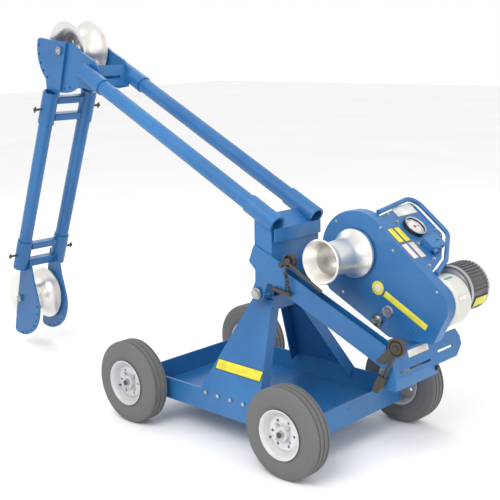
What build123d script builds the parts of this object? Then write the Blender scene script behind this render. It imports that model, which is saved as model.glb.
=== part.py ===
from build123d import *
import math
import os

# Wheeled wire rope puller: a four-wheel chassis with a pedestal, a seesaw
# frame that carries the capstan puller at one end and a two-tube boom at the
# other, an elbow head, a drop arm and a nose sheave. Lengths in millimetres.
# The origin is on the ground at the centre of the four wheels, +X points
# towards the motor, +Y away from the capstan side, +Z up.

# --- driving dimensions ------------------------------------------------------
HALF_BASE = 500.0
HALF_TRACK = 430.0
TYRE_R = 203.2
TYRE_WIDTH = 106.0
BEAD_R = 101.6
AXLE_R = 12.65
HUB_CLEARANCE = 0.05
RUN_CLEARANCE = 0.06

TRAY_HALF_X = 540.0
TRAY_HALF_Y = 350.0
RAIL_Z0 = 130.0
RAIL_Z1 = 234.0
RAIL_T = 8.0
FLOOR_T = 6.0

PED_X = 79.0
PED_BOTTOM_HALF = 186.0
PED_TOP_HALF = 58.0
PED_TOP_Z = 650.0
PED_TOP_Y = 110.0
PED_T = 7.0
PED_FLANGE = 58.0

TILT_X, TILT_Z = 100.0, 690.0
TILT_SHAFT_R = 16.0

TUBE_Y = 137.0
DROP_Y = 131.0
TUBE_R = 38.1
TUBE_WALL = 5.0
SLEEVE_R = 44.5
SLEEVE_BORE = TUBE_R + RUN_CLEARANCE
SLEEVE_LEN = 186.0

BOOM_ANGLE = 26.28
ELBOW = Vector(-1372, 0, 1790)
BOOM_DIR = Vector(math.cos(math.radians(BOOM_ANGLE)), 0, -math.sin(math.radians(BOOM_ANGLE)))
BOOM_UP = Vector(-BOOM_DIR.Z, 0, BOOM_DIR.X)
HEAD_SLEEVE_AT = 238.0
MAST_SLEEVE_AT = 1567.0

DROP_ANGLE = 21.7
DROP_DIR = Vector(-math.sin(math.radians(DROP_ANGLE)), 0, -math.cos(math.radians(DROP_ANGLE)))
DROP_SIDE = Vector(-DROP_DIR.Z, 0, DROP_DIR.X)
DROP_SLEEVE_AT = 238.0
NOSE_SLEEVE_AT = 1182.0
NOSE_AT = 1583.0
NOSE_SET = 18.0
NOSE = ELBOW + DROP_DIR * NOSE_AT + DROP_SIDE * NOSE_SET

SHEAVE_R = 157.0
SHEAVE_HALF = 81.0
SHEAVE_ROOT = 92.0
SHEAVE_AXLE_R = 16.0
CHEEK_R = 208.0
NOSE_CHEEK_R = 196.0
LOCK_HOLE_R = 190.0
HEAD_CHEEK_Y = 95.0
ELBOW_CHEEK_Y = 110.0
NOSE_CHEEK_Y = 95.0
CHEEK_T = 12.0

ARM_ANGLE = 23.06
ARM_Y = 140.0
ARM_WIDTH = 50.0
ARM_DEPTH = 96.0
ARM_WALL = 6.0
ARM_X0, ARM_X1 = 188.0, 812.0
ARM_MID_X, ARM_MID_Z = 357.0, 721.0

CASE_Y0, CASE_Y1 = 35.0, 95.0
CASE_MID_Y = 65.0
CASE_WALL = 4.0
CAPSTAN_X, CAPSTAN_Z = 505.0, 900.0
CASE_TOP_R = 188.0
CASE_END_R = 98.0
CASE_CORNERS = ((376, 732, 26), (694, 573, 26), (900, 579, 22))
MID_X, MID_Z = 682.0, 660.0
KNOB_X, KNOB_Z = 630.0, 614.0
SHAFT_X, SHAFT_Z = 884.0, 720.0
GEARCASE_R = 112.0
MOTOR_LIFT = 34.0
MOTOR_R = 106.0
MOTOR_Y0, MOTOR_Y1 = 204.0, 352.0
PANEL_ANGLE = 37.8
PANEL_X, PANEL_Z = 652.0, 1009.0

GAUGE_S, GAUGE_Y = 22.0, 236.0
SWITCH_S, SWITCH_Y = 134.0, 246.0
BINDER_Y = -188.0
FRONT_HUB = (314.0, 874.0)
REAR_HUB = (885.0, 592.0)

PARTS = "parts"


# --- helpers -----------------------------------------------------------------
def save(name, *shapes):
    """Write one node: a single solid or a group of separate solids."""
    solids = [solid for shape in shapes for solid in shape.solids()]
    node = solids[0] if len(solids) == 1 else Compound(children=solids)
    export_step(node, os.path.join(PARTS, name + ".step"))


def rod(start, end, radius, bore=0.0):
    """Round bar or tube between two points."""
    start, end = Vector(*start), Vector(*end)
    axis = end - start
    section = Circle(radius)
    if bore:
        section = section - Circle(bore)
    return extrude(Plane(origin=start, z_dir=axis.normalized()) * section, amount=axis.length)


def pin_y(x, z, y0, y1, radius, bore=0.0):
    """Round bar or tube along Y."""
    return rod((x, y0, z), (x, y1, z), radius, bore)


def side_plane(y):
    """Plane whose sketch X and Y are the object's X and Z; it extrudes to -Y."""
    return Plane(origin=(0, y, 0), x_dir=(1, 0, 0), z_dir=(0, -1, 0))


def slab(sketch, y0, y1):
    """Extrude a sketch drawn in XZ coordinates between two Y values."""
    return extrude(side_plane(y1) * sketch, amount=y1 - y0)


def outline(*points):
    """Filled polygon through absolute points."""
    return make_face(Polyline(*points, close=True))


def both_sides(shape):
    """The shape and its mirror image across the XZ plane."""
    return [shape, mirror(shape, about=Plane.XZ)]


def spun(points, x, z):
    """Solid of revolution about a Y axis at (x, z); points are (radius, y)."""
    profile = make_face(Plane.XY * Polyline(*[(r, y) for r, y in points], close=True))
    return Pos(x, 0, z) * revolve(profile, axis=Axis.Y)


def along(origin, direction, distance, side=Vector(0, 0, 0), offset=0.0, y=0.0):
    """Point at a distance along a direction, set off sideways and in Y."""
    point = origin + direction * distance + side * offset
    return Vector(point.X, y, point.Z)


def arc_face(centre, radius, start, end, *corners):
    """Face bounded by an arc about a centre and straight runs through corners."""
    arc = CenterArc(centre, radius, start, end - start)
    rest = Polyline(arc @ 1, *corners, arc @ 0)
    return make_face([arc, rest])


# --- wheels ------------------------------------------------------------------
def tyre(x, y):
    """Ribbed pneumatic tyre, hollow and open at the bead."""
    half = TYRE_WIDTH / 2
    tread = half - 14
    outer = [(BEAD_R, -42), (112, -47), (135, -half), (168, -half), (TYRE_R - 8, -tread - 6), (TYRE_R - 1.5, -tread)]
    for rib in (-26, 0, 26):
        outer += [(TYRE_R, rib - 4), (TYRE_R - 5, rib - 2.5), (TYRE_R - 5, rib + 2.5), (TYRE_R, rib + 4)]
    outer += [(r, -w) for r, w in reversed(outer[:6])]
    inner = [(BEAD_R, 30), (118, 38), (166, 42), (TYRE_R - 16, 30)]
    inner += [(r, -w) for r, w in reversed(inner)]
    return Pos(0, y, 0) * spun(outer + inner, x, TYRE_R)


def rim(x, y):
    """Pressed rim with its dished disc and hub tube; the dish faces outwards."""
    out = 1 if y > 0 else -1
    barrel = [(BEAD_R, -42), (111, -52), (111, -55), (107, -55), (98, -44), (88, -20), (88, 20), (98, 44),
              (107, 55), (111, 55), (111, 52), (BEAD_R, 42), (BEAD_R, 30), (92, 19), (92, -19), (BEAD_R, -30)]
    disc = [(31, 14), (50, 20), (70, 22), (84, 14), (88, 14), (88, 18), (84.5, 18), (71, 26), (49, 24), (31, 18)]
    disc = [(r, out * w) for r, w in disc]
    hub = [(20, -46), (31, -46), (31, 38), (20, 38)]
    hub = [(r, out * w) for r, w in hub]
    shell = spun(barrel, x, TYRE_R) + spun(disc, x, TYRE_R) + spun(hub, x, TYRE_R)
    slots = [Pos(x, 0, TYRE_R) * Rot(0, 60 * k + 30, 0) * pin_y(0, 60, -40, 40, 7) for k in range(6)]
    for slot in slots:
        shell = shell - slot
    return Pos(0, y, 0) * shell


def wheel_bushes(x, y):
    """Two bushes that carry one hub on its stub axle."""
    out = 1 if y > 0 else -1
    bore = AXLE_R + HUB_CLEARANCE
    ring = [(bore, 0), (20, 0), (20, 14), (bore, 14)]
    return [Pos(0, y + out * start, 0) * spun([(r, out * w) for r, w in ring], x, TYRE_R) for start in (-46, 24)]


def stub_axle(x, y):
    """Stub axle with a welded flange and a shoulder for the inner bush."""
    out = 1 if y > 0 else -1
    shaft = pin_y(x, TYRE_R, out * TRAY_HALF_Y, out * (TRAY_HALF_Y + 10), 34)
    shaft = shaft + pin_y(x, TYRE_R, out * (TRAY_HALF_Y + 10), out * 383.7, 19)
    return shaft + pin_y(x, TYRE_R, out * 383.7, out * 484, AXLE_R)


def axle_nut(x, y):
    """Hexagon nut that keeps one wheel on its stub axle."""
    out = 1 if y > 0 else -1
    plane = Plane(origin=(x, out * 468.5, TYRE_R), z_dir=(0, out, 0))
    return extrude(plane * (RegularPolygon(19, 6) - Circle(AXLE_R)), amount=13)


# --- chassis -----------------------------------------------------------------
def floor_pan():
    pan = Pos(0, 0, RAIL_Z0 + FLOOR_T / 2) * Box(2 * (TRAY_HALF_X - RAIL_T), 2 * (TRAY_HALF_Y - RAIL_T), FLOOR_T)
    drain = [Pos(x, y, RAIL_Z0) * Cylinder(9, 40) for x in (-480, 480) for y in (-290, 290)]
    for hole in drain:
        pan = pan - hole
    return pan


def side_rails():
    mid = (RAIL_Z0 + RAIL_Z1) / 2
    rail = Pos(0, -TRAY_HALF_Y + RAIL_T / 2, mid) * Box(2 * TRAY_HALF_X, RAIL_T, RAIL_Z1 - RAIL_Z0)
    return both_sides(rail)


def end_rails():
    mid = (RAIL_Z0 + RAIL_Z1) / 2
    width = 2 * (TRAY_HALF_Y - RAIL_T)
    return [Pos(s * (TRAY_HALF_X - RAIL_T / 2), 0, mid) * Box(RAIL_T, width, RAIL_Z1 - RAIL_Z0) for s in (-1, 1)]


def pedestal_plate():
    """Near side plate: a leaning trapezoid folded inwards along both slopes."""
    rise = PED_TOP_Z - RAIL_Z1
    lean = TRAY_HALF_Y - PED_TOP_Y
    slope = math.hypot(rise, lean)
    normal = Vector(0, -rise / slope, lean / slope)
    plane = Plane(origin=(PED_X, -TRAY_HALF_Y, RAIL_Z1), x_dir=(1, 0, 0), z_dir=-normal)
    b, t = PED_BOTTOM_HALF, PED_TOP_HALF
    sheet = extrude(plane * outline((-b, 0), (b, 0), (t, -slope), (-t, -slope)), amount=PED_T)
    for s in (-1, 1):
        edge = outline((s * b, 0), (s * (b - PED_T), 0), (s * (t - PED_T), -slope), (s * t, -slope))
        sheet = sheet + extrude(plane * edge, amount=PED_FLANGE)
    below_rail = Pos(PED_X, -TRAY_HALF_Y + RAIL_T / 2, RAIL_Z1 - 60) * Box(600, RAIL_T + 0.01, 120)
    above = Pos(PED_X, 0, PED_TOP_Z + 50) * Box(400, 2 * TRAY_HALF_Y, 100)
    outside = Pos(PED_X, -TRAY_HALF_Y - 50, RAIL_Z1) * Box(600, 100, 600)
    return sheet - below_rail - above - outside


def pedestal_box():
    """Cross box on top of the pedestal, with a boss for the tilt shaft on each side."""
    x0, x1, z0, z1 = 32.0, 129.0, 596.0, 738.0
    mid_x, mid_z = (x0 + x1) / 2, (z0 + z1) / 2
    half_y = 98.0
    shell = Pos(mid_x, 0, mid_z) * Box(x1 - x0, 2 * half_y, z1 - z0)
    shell = shell - Pos(mid_x, 0, mid_z - 8) * Box(x1 - x0 - 16, 2 * half_y - 16, z1 - z0)
    shell = shell + pin_y(TILT_X, TILT_Z, -114.6, 114.6, 27)
    shell = shell - pin_y(TILT_X, TILT_Z, -90, 90, 40) - pin_y(TILT_X, TILT_Z, -120, 120, TILT_SHAFT_R)
    return shell


def tilt_shaft():
    """Pivot shaft of the seesaw frame with a washer and a hexagon head at each end."""
    half = 178.0
    shaft = pin_y(TILT_X, TILT_Z, -half, half, TILT_SHAFT_R)
    for out in (-1, 1):
        shaft = shaft + pin_y(TILT_X, TILT_Z, out * 173.4, out * 178, 27)
        head = Plane(origin=(TILT_X, out * half, TILT_Z), z_dir=(0, out, 0)) * RegularPolygon(23, 6)
        shaft = shaft + extrude(head, amount=13)
    return shaft


def rail_bolts():
    """Hexagon heads that fasten the pedestal plates through the side rails."""
    heads = []
    for x in (-70, 10, 90, 170, 235):
        plane = Plane(origin=(x, -TRAY_HALF_Y, 222), z_dir=(0, -1, 0))
        heads.append(extrude(plane * RegularPolygon(10, 6), amount=7))
    return [side for head in heads for side in both_sides(head)]


# --- seesaw frame --------------------------------------------------------------
def boom_point(distance, offset=0.0, y=0.0):
    return along(ELBOW, BOOM_DIR, distance, BOOM_UP, offset, y)


def drop_point(distance, offset=0.0, y=0.0):
    return along(ELBOW, DROP_DIR, distance, DROP_SIDE, offset, y)


def sleeve_pair(point_at, start, y=TUBE_Y):
    """Two clamp sleeves that hold a pair of arm tubes."""
    near = rod(point_at(start, 0, -y), point_at(start + SLEEVE_LEN, 0, -y), SLEEVE_R, SLEEVE_BORE)
    return both_sides(near)


def sleeve_cut(point_at, start, y=TUBE_Y):
    """Solid bars as wide as the sleeves, for cutting plates to fit round them."""
    near = rod(point_at(start, 0, -y), point_at(start + SLEEVE_LEN, 0, -y), SLEEVE_R)
    return both_sides(near)


def cross_bar(point_at, distance, offset, length, depth, half_y, wall=5.0):
    """Rectangular tube along Y between two plates or sleeves, centred on a point of the arm."""
    start = point_at(distance, offset, -half_y)
    along_arm = point_at(distance + 1, offset, 0) - point_at(distance, offset, 0)
    section = RectangleRounded(length, depth, 8) - RectangleRounded(length - 2 * wall, depth - 2 * wall, 3)
    return extrude(Plane(origin=start, x_dir=along_arm, z_dir=(0, 1, 0)) * section, amount=2 * half_y)


def mast_frame():
    """Box columns with ears that turn on the tilt shaft, and the web between them."""
    x0, x1, knee, top = 84.0, 188.0, 745.0, 1090.0
    y0, y1 = -ARM_Y - ARM_WIDTH / 2, -ARM_Y + ARM_WIDTH / 2
    mid = Pos((x0 + x1) / 2, -ARM_Y, (knee + top) / 2)
    column = mid * Box(x1 - x0, ARM_WIDTH, top - knee) - mid * Box(x1 - x0 - 12, ARM_WIDTH - 12, top - knee)
    ear = outline((x0, knee), (x0 - 22, TILT_Z), (TILT_X + 38, TILT_Z), (x1 - 30, knee)) + Pos(TILT_X, TILT_Z) * Circle(38)
    column = column + slab(ear, y0, y1)
    column = column - sleeve_cut(boom_point, MAST_SLEEVE_AT)[0]
    column = column - slab(outline((0, 1106), (300, 960), (300, 1300), (0, 1300)), -200, -100)
    column = column - pin_y(TILT_X, TILT_Z, -180, -100, TILT_SHAFT_R + RUN_CLEARANCE)
    web = Pos(x1 - 3, 0, 853) * Box(6, 2 * ARM_Y - ARM_WIDTH, 176)
    return both_sides(largest(column)) + [web]


def largest(shape):
    """The biggest solid of a cut, without the offcuts."""
    return max(shape.solids(), key=lambda solid: solid.volume)


def arm_gussets():
    """Outer plates that tie each mast column to its carriage arm."""
    face = outline((84, 917), (188, 877), (271, 840), (271, 712), (204, 743), (94, 795), (51, 835))
    plate = slab(fillet(face.vertices(), 8), -ARM_Y - ARM_WIDTH / 2 - 6, -ARM_Y - ARM_WIDTH / 2)
    return both_sides(plate)


def carriage_arms():
    """Channels, open upwards, that run from the mast to the cross member."""
    slope = math.tan(math.radians(ARM_ANGLE))
    half = ARM_DEPTH / 2 / math.cos(math.radians(ARM_ANGLE))
    def band(low, high, y0, y1):
        z = [ARM_MID_Z - slope * (x - ARM_MID_X) for x in (ARM_X0, ARM_X1)]
        face = outline((ARM_X0, z[0] + low), (ARM_X1, z[1] + low), (ARM_X1, z[1] + high), (ARM_X0, z[0] + high))
        return slab(face, y0, y1)
    y0, y1 = -ARM_Y - ARM_WIDTH / 2, -ARM_Y + ARM_WIDTH / 2
    arm = band(-half, half, y0, y1) - band(-half + ARM_WALL, half + 1, y0 + ARM_WALL, y1 - ARM_WALL)
    return both_sides(arm)


def sleeve_channel():
    """Cross box between the two mast sleeves, with a wide front plate."""
    face = outline((112, 1052), (200, 990), (200, 938), (112, 1000))
    hollow = outline((118, 1040), (194, 986), (194, 949), (118, 1003))
    box = slab(face, -115, 115) - slab(hollow, -116, 116)
    box = box + slab(outline((200, 938), (206, 938), (206, 998), (200, 998)), -160, 160)
    for cut in sleeve_cut(boom_point, MAST_SLEEVE_AT):
        box = box - cut
    return largest(box)


def cross_member():
    """Slotted carriage beam at the motor end: a front strip folded up into a tall web."""
    y0, y1, strip_end = -165.0, 356.0, 150.0
    lip = [(812.5, 546), (812.5, 539), (833, 539)]
    web = slab(outline((868, 432), (868, 440), (838, 546), *lip, (861, 440), (861, 432)), y0, y1)
    web = web - slab(outline((800, 530), (832.5, 530), (832.5, 560), (800, 560)), 113, y1 + 1)
    web = web - slab(outline((800, 530), (832.5, 530), (832.5, 560), (800, 560)), y0 - 1, -113)
    corner = Plane.YZ.offset(800) * outline((300, 431), (y1 + 1, 431), (y1 + 1, 476))
    crown = Plane.YZ.offset(800) * outline((y1 - 22, 547), (y1 + 1, 510), (y1 + 1, 547))
    web = web - extrude(corner, amount=100) - extrude(crown, amount=100)
    strip = slab(outline((868, 392), (868, 433), (861, 433), (861, 399), (812.5, 399), (812.5, 392)), y0, strip_end)
    member = web + strip
    ends = outline((812.5, 392), (868, 392), (868, 440), (838, 546), (812.5, 546))
    member = member + slab(ends, y0, y0 + 7) + slab(ends, 106, 113)
    for centre, length, z in ((-10, 230, 463), (225, 120, 484)):
        member = member - Pos(858, centre, z) * Rot(0, -16, 0) * Box(40, length, 10)
    return largest(member)


# --- puller case ---------------------------------------------------------------
def case_face(inset=0.0):
    """Flat outline of the puller case, shrunk by an inset."""
    rounds = [Pos(CAPSTAN_X, CAPSTAN_Z) * Circle(CASE_TOP_R - inset), Pos(SHAFT_X, SHAFT_Z) * Circle(CASE_END_R - inset)]
    rounds += [Pos(x, z) * Circle(radius - inset) for x, z, radius in CASE_CORNERS]
    return make_hull([edge for part in rounds for edge in part.edges()])


def case_front_shell():
    shell = slab(case_face(), CASE_Y0, CASE_MID_Y) - slab(case_face(CASE_WALL), CASE_Y0 + CASE_WALL, CASE_MID_Y + 1)
    shell = shell - pin_y(CAPSTAN_X, CAPSTAN_Z, CASE_Y0 - 1, CASE_MID_Y, 27)
    shell = shell - pin_y(MID_X, MID_Z, CASE_Y0 - 1, CASE_MID_Y, 14.06)
    return shell - pin_y(KNOB_X, KNOB_Z, CASE_Y0 - 1, CASE_MID_Y, 8.06)


def case_back_shell():
    shell = slab(case_face(), CASE_MID_Y, CASE_Y1) - slab(case_face(CASE_WALL), CASE_MID_Y - 1, CASE_Y1 - CASE_WALL)
    shell = shell - pin_y(CAPSTAN_X, CAPSTAN_Z, CASE_MID_Y, CASE_Y1 + 1, 20.06)
    shell = shell - pin_y(MID_X, MID_Z, CASE_MID_Y, CASE_Y1 + 1, 14.06)
    return shell - pin_y(SHAFT_X, SHAFT_Z, CASE_MID_Y, CASE_Y1 + 1, 13.06)


def bearing_caps():
    """Bearing housings on the case for the capstan and intermediate shafts."""
    front = spun([(20.06, 30), (26.9, 30), (26.9, 39), (40, 39), (40, 45), (20.06, 45)], CAPSTAN_X, CAPSTAN_Z)
    back = spun([(20.06, CASE_Y1), (42, CASE_Y1), (42, 108), (20.06, 108)], CAPSTAN_X, CAPSTAN_Z)
    middle = spun([(0.01, 28), (7, 28), (8, 31), (22, 31), (29, 33), (29, CASE_Y0), (0.01, CASE_Y0)], MID_X, MID_Z)
    return [front, back, middle]


def case_foot():
    """Packing block that carries the case on the cross member."""
    block = slab(outline((750, 538), (812, 538), (812, 546.5), (832, 546.5), (832, 570), (750, 570)), 40, 90)
    return largest(block - slab(case_face(), 0, 100))


def case_screws():
    """Button heads near the rim of the case front."""
    spots = [(400, 1030), (640, 1028), (707, 937), (930, 790), (832, 596), (440, 712)]
    return [pin_y(x, z, CASE_Y0 - 3, CASE_Y0, 6) for x, z in spots]


# --- capstan and drive -----------------------------------------------------------
def capstan():
    """Hourglass drum, hollow at the front, with a hub web at the back."""
    lip_y, lip_r = -215.0, 98.0
    back_y, back_r = 25.0, 110.0
    lip = Polyline((62, -160), (88, -207), (lip_r - 4, lip_y), (lip_r, -209), (lip_r, -205))
    flare = ThreePointArc((lip_r, -205), (81, -186), (73, -158))
    barrel = Line((73, -158), (77, -62))
    bell = ThreePointArc((77, -62), (86, -26), (back_r, 12))
    back = Polyline((back_r, 12), (back_r, back_y), (20, back_y), (20, -60), (62, -60), (62, -160))
    profile = make_face([lip, flare, barrel, bell, back])
    return Pos(CAPSTAN_X, 0, CAPSTAN_Z) * revolve(profile, axis=Axis.Y)


def capstan_shaft():
    """Main shaft with its hub nut, rear collar and large sprocket."""
    shaft = pin_y(CAPSTAN_X, CAPSTAN_Z, -72, 116, 20) + pin_y(CAPSTAN_X, CAPSTAN_Z, 108.3, 114, 28)
    nut = Plane(origin=(CAPSTAN_X, -60, CAPSTAN_Z), z_dir=(0, -1, 0)) * RegularPolygon(30, 6)
    return shaft + extrude(nut, amount=18) + sprocket(CAPSTAN_X, CAPSTAN_Z, 50, 62, 60, 146, 140, 20)


def sprocket(x, z, y0, y1, teeth, tip, root, bore, phase=0.0):
    """Chain sprocket with straight-flanked teeth and a round bore."""
    step = 360.0 / teeth
    points = []
    for k in range(teeth):
        for part, radius in ((0.0, root), (0.22, tip), (0.42, tip), (0.64, root)):
            angle = math.radians(phase + (k + part) * step)
            points.append((x + radius * math.cos(angle), z + radius * math.sin(angle)))
    wheel = slab(outline(*points), y0, y1)
    return wheel - pin_y(x, z, y0 - 1, y1 + 1, bore)


def chain_loop(x0, z0, r0, x1, z1, r1, y0, y1, thickness):
    """Roller chain as a closed band round two sprockets."""
    outer = make_hull((Pos(x0, z0) * Circle(r0 + thickness)).edges() + (Pos(x1, z1) * Circle(r1 + thickness)).edges())
    inner = make_hull((Pos(x0, z0) * Circle(r0)).edges() + (Pos(x1, z1) * Circle(r1)).edges())
    return slab(outer - inner, y0, y1)


def intermediate_shaft():
    """Second shaft with its large and small sprockets."""
    shaft = pin_y(MID_X, MID_Z, 36, 94.5, 14)
    big = sprocket(MID_X, MID_Z, 72, 84, 30, 84, 78, 14)
    small = sprocket(MID_X, MID_Z, 50, 62, 12, 34, 28, 14)
    return shaft + big + small


def motor_rotor():
    """Motor shaft with its armature and the drive sprocket inside the case."""
    shaft = pin_y(SHAFT_X, SHAFT_Z, 68, 318, 13)
    drive = sprocket(SHAFT_X, SHAFT_Z, 72, 84, 12, 34, 28, 13)
    armature = pin_y(SHAFT_X, SHAFT_Z, 222, 300, 46)
    return shaft + drive + armature


def gearcase():
    """Round gear housing between the case and the motor."""
    wall = [(13.06, CASE_Y1), (102, CASE_Y1), (GEARCASE_R, 104), (GEARCASE_R, 196), (104, MOTOR_Y0), (13.06, MOTOR_Y0),
            (13.06, 196), (GEARCASE_R - 7, 196), (GEARCASE_R - 7, 104), (13.06, 104)]
    return spun(wall, SHAFT_X, SHAFT_Z)


def motor_body():
    """Motor barrel set above the shaft line, closed by a rear bell."""
    x, z = SHAFT_X, SHAFT_Z + MOTOR_LIFT
    wall = [(MOTOR_R - 8, MOTOR_Y0 + 0.5), (MOTOR_R, MOTOR_Y0 + 0.5), (MOTOR_R, MOTOR_Y1), (MOTOR_R - 8, MOTOR_Y1)]
    return spun(wall, x, z)


def motor_end_bell():
    """Domed cover on the outer end of the motor."""
    x, z = SHAFT_X, SHAFT_Z + MOTOR_LIFT
    end = MOTOR_Y1
    bell = [(0.01, end - 8), (MOTOR_R - 8.5, end - 8), (MOTOR_R - 8.5, end), (MOTOR_R - 3, end), (MOTOR_R - 6, end + 12),
            (MOTOR_R - 18, end + 22), (30, end + 25), (0.01, end + 25)]
    return spun(bell, x, z)


# --- control panel ---------------------------------------------------------------
def panel_point(s, y, height=0.0):
    """Point of the sloping panel: s down the slope, y across, height above it."""
    angle = math.radians(PANEL_ANGLE)
    x = PANEL_X + s * math.cos(angle) + height * math.sin(angle)
    z = PANEL_Z - s * math.sin(angle) + height * math.cos(angle)
    return Vector(x, y, z)


def panel_frame(height=0.0):
    angle = math.radians(PANEL_ANGLE)
    return Plane(origin=panel_point(0, 0, height), x_dir=(math.cos(angle), 0, -math.sin(angle)),
                 z_dir=(math.sin(angle), 0, math.cos(angle)))


def control_panel():
    """Sloping plate behind the case that carries the gauge and switches."""
    face = outline((-84, 95.5), (-122, 388), (92, 388), (210, 238), (262, 95.5))
    face = fillet(face.vertices().sort_by(Axis.Y)[2:], 30)
    return extrude(panel_frame(-2) * face, amount=5)


def guard_hoop():
    """Round bar loop that guards the panel and serves as a handle."""
    corners = [(-100, 100), (-142, 412), (104, 412), (231, 238), (282, 100)]
    path = FilletPolyline(*[panel_point(s, y, 12) for s, y in corners], radius=60)
    section = Plane(origin=path @ 0, z_dir=path % 0) * Circle(11)
    return sweep(section, path=path)


def gauge_case():
    """Round load gauge housing with a raised bezel ring and a flat dial inside."""
    centre = Pos(GAUGE_S, GAUGE_Y)
    body = extrude(panel_frame(3) * (centre * Circle(54)), amount=20)
    recess = extrude(panel_frame(14) * (centre * Circle(47)), amount=20)
    post = extrude(panel_frame(13) * (centre * Circle(3)), amount=7)
    return body - recess + post


def gauge_needle():
    """Needle that turns on the gauge's post."""
    face = Circle(7) + Pos(0, 19) * Rectangle(3, 38) - Circle(3.05)
    return extrude(panel_frame(15.5) * (Pos(GAUGE_S, GAUGE_Y) * face), amount=1.5)


def switch_box():
    """Box that houses the motor switches, with a round socket for the supply lead."""
    box = extrude(panel_frame(3) * (Pos(SWITCH_S, SWITCH_Y) * RectangleRounded(66, 106, 8)), amount=32)
    socket = rod(panel_point(SWITCH_S + 33, SWITCH_Y - 30, 18), panel_point(SWITCH_S + 52, SWITCH_Y - 30, 18), 13, 8)
    return [box, socket]


def toggle_switch():
    """Toggle lever with a round base that tips on top of the switch box."""
    ball_r = 5.5
    pivot = panel_frame(35.4 + ball_r)
    centre = Pos(SWITCH_S - 4, SWITCH_Y + 24)
    return extrude(pivot * (centre * Circle(4)), amount=20) + pivot * (centre * Sphere(ball_r))


def selector_knob():
    """Domed knob on the case front that selects the pulling speed."""
    face = CASE_Y0 - 0.5
    dome = [(0.01, 52), (8, 52), (8, face), (28, face), (28, 27), (26, 21), (20, 15), (11, 11), (0.01, 10)]
    return spun(dome, KNOB_X, KNOB_Z)


# --- boom ------------------------------------------------------------------------
def boom_tubes():
    near = rod(boom_point(HEAD_SLEEVE_AT, 0, -TUBE_Y), boom_point(MAST_SLEEVE_AT + SLEEVE_LEN, 0, -TUBE_Y),
               TUBE_R, TUBE_R - TUBE_WALL)
    return both_sides(near)


def drop_tubes():
    near = rod(drop_point(DROP_SLEEVE_AT, 0, -DROP_Y), drop_point(NOSE_SLEEVE_AT + SLEEVE_LEN, 0, -DROP_Y),
               TUBE_R, TUBE_R - TUBE_WALL)
    return both_sides(near)


def sheave(centre):
    """Wide deep-groove sheave with a webbed hub, turning on its axle."""
    half = SHEAVE_HALF
    rim_arc = ThreePointArc((SHEAVE_R, half - 6), (SHEAVE_ROOT, 0), (SHEAVE_R, -half + 6))
    edge = Polyline((SHEAVE_R, -half + 6), (SHEAVE_R, -half), (SHEAVE_R - 8, -half))
    back = ThreePointArc((SHEAVE_R - 8, -half), (84, -40), (78, 0))
    front = ThreePointArc((78, 0), (84, 40), (SHEAVE_R - 8, half))
    close = Polyline((SHEAVE_R - 8, half), (SHEAVE_R, half), (SHEAVE_R, half - 6))
    ring = Pos(centre.X, 0, centre.Z) * revolve(make_face([rim_arc, edge, back, front, close]), axis=Axis.Y)
    web = spun([(30, -7), (81, -7), (81, 7), (30, 7)], centre.X, centre.Z)
    hub = spun([(SHEAVE_AXLE_R + RUN_CLEARANCE, -half), (30, -half), (30, half), (SHEAVE_AXLE_R + RUN_CLEARANCE, half)],
               centre.X, centre.Z)
    wheel = ring + web + hub
    for k in range(6):
        angle = math.radians(60 * k)
        wheel = wheel - pin_y(centre.X + 56 * math.cos(angle), centre.Z + 56 * math.sin(angle), -20, 20, 13)
    return wheel


def sheave_axle(centre, half):
    """Plain axle with a collar at each end and a spring clip through the near end."""
    axle = pin_y(centre.X, centre.Z, -half, half, SHEAVE_AXLE_R)
    for out in (-1, 1):
        axle = axle + pin_y(centre.X, centre.Z, out * (half - 6), out * half, SHEAVE_AXLE_R + 5)
    clip = Circle(15) - Circle(11) + Rot(0, 0, 45) * Pos(-25, 0) * Rectangle(24, 4)
    return axle + extrude(Plane(origin=(centre.X + 9, -half - 5, centre.Z + 8), z_dir=(0, 1, 0)) * clip, amount=6)


def cheek_holes(plate, centre, radius, start, step, count, y):
    """Cut a row of lock holes on an arc about the axle."""
    for k in range(count):
        angle = math.radians(start + k * step)
        x = centre.X + radius * math.cos(angle)
        z = centre.Z + radius * math.sin(angle)
        plate = plate - pin_y(x, z, y - 20, y + 20, 8)
    return plate


def head_cheeks():
    """Inner side plates of the boom head."""
    ex, ez = ELBOW.X, ELBOW.Z
    face = arc_face((ex, ez), 226, 232, 304, (ex + 214, ez - 206), (ex + 292, ez - 196), (ex + 306, ez - 96),
                    (ex + 266, ez - 52), (ex + 176, ez - 12), (ex + 90, ez + 38), (ex + 24, ez + 48), (ex - 60, ez + 20), (ex - 130, ez - 130))
    plate = slab(face, -HEAD_CHEEK_Y - CHEEK_T, -HEAD_CHEEK_Y)
    plate = plate - sleeve_cut(boom_point, HEAD_SLEEVE_AT)[0]
    plate = plate - pin_y(ex, ez, -130, -80, SHEAVE_AXLE_R)
    plate = cheek_holes(plate, ELBOW, LOCK_HOLE_R + 12, 242, 14.5, 4, -HEAD_CHEEK_Y)
    return both_sides(largest(plate))


def head_cross_plates():
    """Slotted cross plates and a bar that tie the head's side plates together."""
    half = HEAD_CHEEK_Y
    front = Pos(-1093, 0, 1656) * Box(10, 2 * half, 112) - Pos(-1093, 0, 1648) * Box(20, 116, 16)
    for cut in sleeve_cut(boom_point, HEAD_SLEEVE_AT):
        front = front - cut
    base = Pos(-1140, 0, 1604) * Box(84, 2 * half, 8)
    back = Pos(-1193, 0, 1641) * Box(10, 2 * half, 62)
    return [front, base, back, pin_y(-1272, 1600, -half, half, 11)]


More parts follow.
